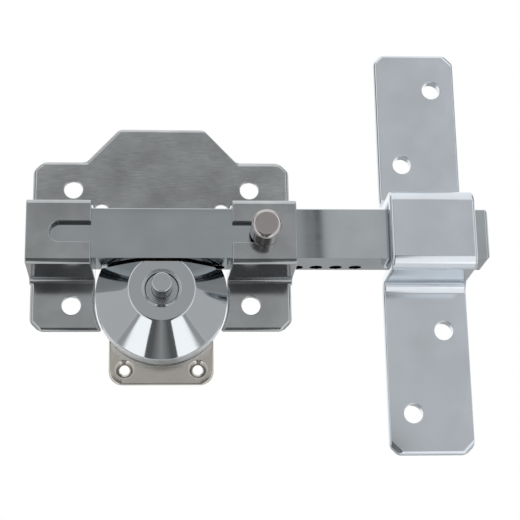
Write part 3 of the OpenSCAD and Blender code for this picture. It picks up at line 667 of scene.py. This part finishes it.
tent_paint = bpy.data.materials.new("tent_paint")
tent_paint.use_nodes = True
tree = tent_paint.node_tree
tree.nodes.clear()
place = add_node(tree, "ShaderNodeTexCoord").outputs["Object"]
unit = add_node(tree, "ShaderNodeVectorMath", {0: place}, operation="NORMALIZE").outputs["Vector"]
parts = add_node(tree, "ShaderNodeSeparateXYZ", {"Vector": unit})
height = add_node(tree, "ShaderNodeMath", {0: parts.outputs["Z"]}, operation="ARCSINE")
turn = add_node(tree, "ShaderNodeMath", {
    0: parts.outputs["X"], 1: add_node(tree, "ShaderNodeMath", {
        0: parts.outputs["Y"], 1: -1.0}, operation="MULTIPLY").outputs["Value"]},
    operation="ARCTAN2")
aside = add_node(tree, "ShaderNodeMath", {0: turn.outputs["Value"]}, operation="ABSOLUTE")
# Heights in degrees, from straight down to straight up, and the light each one gives
bands = [(-90, 1.0), (-66, 0.95), (-56, 0.72), (-44, 0.76), (-34, 1.15), (-8, 1.2), (-2, 0.6),
         (2, 0.56), (26, 0.54), (34, 1.15), (90, 1.25)]
ramp = add_node(tree, "ShaderNodeValToRGB", {"Fac": add_node(tree, "ShaderNodeMapRange", {
    "Value": height.outputs["Value"], "From Min": -math.pi / 2,
    "From Max": math.pi / 2}).outputs["Result"]})
while len(ramp.color_ramp.elements) < len(bands):
    ramp.color_ramp.elements.new(0.5)
for stop, (degrees, light) in zip(ramp.color_ramp.elements, bands):
    stop.position = (degrees + 90) / 180
    stop.color = (light / 2, light / 2, light / 2, 1)
level = add_node(tree, "ShaderNodeMath", {0: ramp.outputs["Color"], 1: 2.0},
                 operation="MULTIPLY").outputs["Value"]


def painted(under, light, aside_from, aside_to, from_height, to_height, soft):
    """Paints a patch of the tent, on both sides alike. Angles in degrees, light as a level."""
    edges = [math.radians(a) for a in (aside_from, aside_to, from_height, to_height, soft)]
    patch = add_node(tree, "ShaderNodeMath", {
        0: direction_mask(tree, aside.outputs["Value"], edges[0], edges[1], edges[4]),
        1: direction_mask(tree, height.outputs["Value"], edges[2], edges[3], edges[4])},
        operation="MULTIPLY").outputs["Value"]
    return add_node(tree, "ShaderNodeMix", {0: patch, 2: under, 3: light},
                    data_type="FLOAT").outputs[0]


# Bright cloth behind the lock, which draws the thin light lines along every outer edge, and
# greyer cloth below it, which the undersides of the bar and of the strike show
level = painted(level, 1.2, 92, 200, -4, 60, 4)
level = painted(level, 0.5, 100, 200, -40, -8, 4)
# Bright slits beside the camera, for the ring round the cone's flat front and for the knob
level = painted(level, 1.25, 20, 45, -8, 34, 2)
# A paler strip beside the camera for the bar's bare stretch, with two dark seams before it
level = painted(level, 0.76, 8.4, 11.65, 2, 26, 0.12)
level = painted(level, 0.3, 7.5, 7.9, 2, 26, 0.12)
level = painted(level, 0.05, 8.05, 8.4, 2, 26, 0.08)
# Further aside the cloth that the strike's front shows, and below it a brighter one for its bends
level = painted(level, 0.67, 11.65, 17.5, -2, 33, 0.3)
level = painted(level, 1.3, 11.65, 24, -64, -4, 1)
# Above the camera a darker stretch for the upper plate, and lower down a paler one for the flanges
level = painted(level, 0.34, -7, 6, 18.6, 21.9, 0.7)
level = painted(level, 0.63, 2.6, 7.2, 8, 13.4, 0.6)
# Calm grey side walls for the cone's flanks, dark above them, with a darker foot
level = painted(level, 0.68, 55, 89, -35, 18, 2)
level = painted(level, 0.2, 55, 95, 19, 60, 2.5)
level = painted(level, 0.5, 60, 74, -42, -35, 2)
# Two soft boxes, low on either side
level = painted(level, 1.7, 25, 62.5, -64, -41, 1.5)
glow = add_node(tree, "ShaderNodeEmission", {"Strength": level})
add_node(tree, "ShaderNodeOutputMaterial", {"Surface": glow.outputs["Emission"]})

tent_radius = 1.6
bpy.ops.mesh.primitive_uv_sphere_add(segments=64, ring_count=32, radius=tent_radius)
tent = bpy.context.object
tent.name = "light_tent"
tent.data.materials.append(tent_paint)
tent.data.shade_smooth()
print("tent radius in m:", tent_radius, "bands of light:", len(bands))

# %% [markdown]
# ## Cards
# A photographer lays dark cards round a shiny object to give it dark edges. Two do it here: one
# under the case, for its lower bends and the foot of the cone, and one round the camera, for the
# sides of the knob and the button. Only mirror rays see them, so they cast no shadow.


# %% Two dark cards
def seen_only_in_mirrors(thing):
    thing.visible_camera = thing.visible_diffuse = thing.visible_shadow = False
    thing.visible_transmission = thing.visible_volume_scatter = False


def panel(name, corners_mm, material):
    mesh = bpy.data.meshes.new(name)
    mesh.from_pydata([[c * MM for c in corner] for corner in corners_mm], [], [(0, 1, 2, 3)])
    mesh.materials.append(material)
    thing = bpy.data.objects.new(name, mesh)
    scene.collection.objects.link(thing)
    return thing


card_paint = bpy.data.materials.new("dark_card")
card_paint.use_nodes = True
tree = card_paint.node_tree
tree.nodes.clear()
place = add_node(tree, "ShaderNodeTexCoord").outputs["Object"]
across = add_node(tree, "ShaderNodeSeparateXYZ", {"Vector": place}).outputs["X"]
from_middle = add_node(tree, "ShaderNodeMath", {0: across}, operation="ABSOLUTE").outputs["Value"]
grey = add_node(tree, "ShaderNodeMapRange", {
    "Value": from_middle, "From Max": 28 * MM, "To Min": 0.42, "To Max": 0.15})
glow = add_node(tree, "ShaderNodeEmission", {"Strength": grey.outputs["Result"]})
add_node(tree, "ShaderNodeOutputMaterial", {"Surface": glow.outputs["Emission"]})
# The two cards meet in one edge in front of the lock
left, right, front, low, top = -148, 142, -460, -155, 12
under_card = panel("under_card", [(-32, -4, low), (32, -4, low), (right, front, low),
                                  (left, front, low)], card_paint)
front_card = panel("front_card", [(left, front, low), (right, front, low), (right, front, top),
                                  (left, front, top)], card_paint)
for thing in (tent, under_card, front_card):
    seen_only_in_mirrors(thing)
print("dark cards:", under_card.name, front_card.name)

# %% [markdown]
# ## Floor and lamps
# The floor is a plain pale sheet below the lock, faintly mottled so that it is not a dead flat
# tone. Two large soft lamps light the nylon and draw a soft shadow. Metal does not see them,
# because their square outlines would show as hard spots on it.

# %% The floor
floor_paint = bpy.data.materials.new("pale_studio_floor")
floor_paint.use_nodes = True
tree = floor_paint.node_tree
tree.nodes.clear()
place = add_node(tree, "ShaderNodeTexCoord").outputs["Object"]
mottle = add_node(tree, "ShaderNodeTexNoise", {"Vector": place, "Scale": 8.0, "Detail": 2.0})
pale = add_node(tree, "ShaderNodeMapRange", {
    "Value": mottle.outputs["Fac"], "To Min": 0.84, "To Max": 0.88})
paint = add_node(tree, "ShaderNodeBsdfDiffuse", {"Color": pale.outputs["Result"]})
add_node(tree, "ShaderNodeOutputMaterial", {"Surface": paint.outputs["BSDF"]})
floor_z, floor_reach = -200, 3000
floor = panel("floor", [(x * floor_reach, y * floor_reach, floor_z)
                        for x, y in ((-1, -1), (1, -1), (1, 1), (-1, 1))], floor_paint)
floor.visible_glossy = False
print("floor at mm:", floor_z)


# %% Two soft lamps
def soft_lamp(name, place_mm, size_mm, power):
    data = bpy.data.lights.new(name, "AREA")
    data.shape = "SQUARE"
    data.size = size_mm * MM
    data.energy = power
    lamp = bpy.data.objects.new(name, data)
    lamp.location = Vector(place_mm) * MM
    lamp.rotation_euler = (-lamp.location).to_track_quat("-Z", "Y").to_euler()
    lamp.visible_glossy = False
    scene.collection.objects.link(lamp)


soft_lamp("top_lamp", (-200, -300, 900), 700, 4.0)
soft_lamp("side_lamp", (700, -500, 400), 500, 1.5)

# %% [markdown]
# ## World
# The background is white paper at strength 1, which is exactly white. Only camera, mirror and
# see-through rays meet it. Light that reaches matt surfaces from all round is lower, because
# the lamps add their share.

# %% A white world
world = bpy.data.worlds.new("white_paper")
scene.world = world
world.use_nodes = True
tree = world.node_tree
tree.nodes.clear()
rays = add_node(tree, "ShaderNodeLightPath")
direct = add_node(tree, "ShaderNodeMath", {
    0: rays.outputs["Is Camera Ray"], 1: rays.outputs["Is Glossy Ray"]}, operation="MAXIMUM")
seen = add_node(tree, "ShaderNodeMath", {
    0: direct.outputs["Value"], 1: rays.outputs["Is Transmission Ray"]}, operation="MAXIMUM")
paper = add_node(tree, "ShaderNodeBackground", {"Color": (1, 1, 1, 1), "Strength": 1.0})
fill = add_node(tree, "ShaderNodeBackground", {"Color": (1, 1, 1, 1), "Strength": 0.7})
both = add_node(tree, "ShaderNodeMixShader", {
    0: seen.outputs["Value"], 1: fill.outputs["Background"], 2: paper.outputs["Background"]})
add_node(tree, "ShaderNodeOutputWorld", {"Surface": both.outputs["Shader"]})
print("world ready")

# %% [markdown]
# ## Camera
# The photograph was taken from a little below the lock, looking up. The place, the turn and the
# lens were worked out from where the holes and corners of the lock fall in the picture, and
# the small shift keeps the photograph's own framing.

# %% The camera at the photograph's place
lens_px, centre_px, side_px = 1515.686, (255.689, 225.314), 520
camera_data = bpy.data.cameras.new("photo_camera")
camera_data.sensor_width = 36
camera_data.lens = lens_px / side_px * camera_data.sensor_width
camera_data.shift_x = 0.5 - centre_px[0] / side_px
camera_data.shift_y = centre_px[1] / side_px - 0.5
camera_data.clip_start = 0.01
camera = bpy.data.objects.new("photo_camera", camera_data)
look = Euler([math.radians(a) for a in (17.370, 0.956, -3.759)]).to_matrix().to_4x4()
camera.matrix_world = (Matrix.Translation(Vector((-2.640, -453.099, -134.317)) * MM)
                       @ look @ Matrix.Rotation(math.radians(90), 4, "X"))
scene.collection.objects.link(camera)
scene.camera = camera
scene.view_settings.view_transform = "Standard"
print("lens:", round(camera_data.lens, 2), "mm")
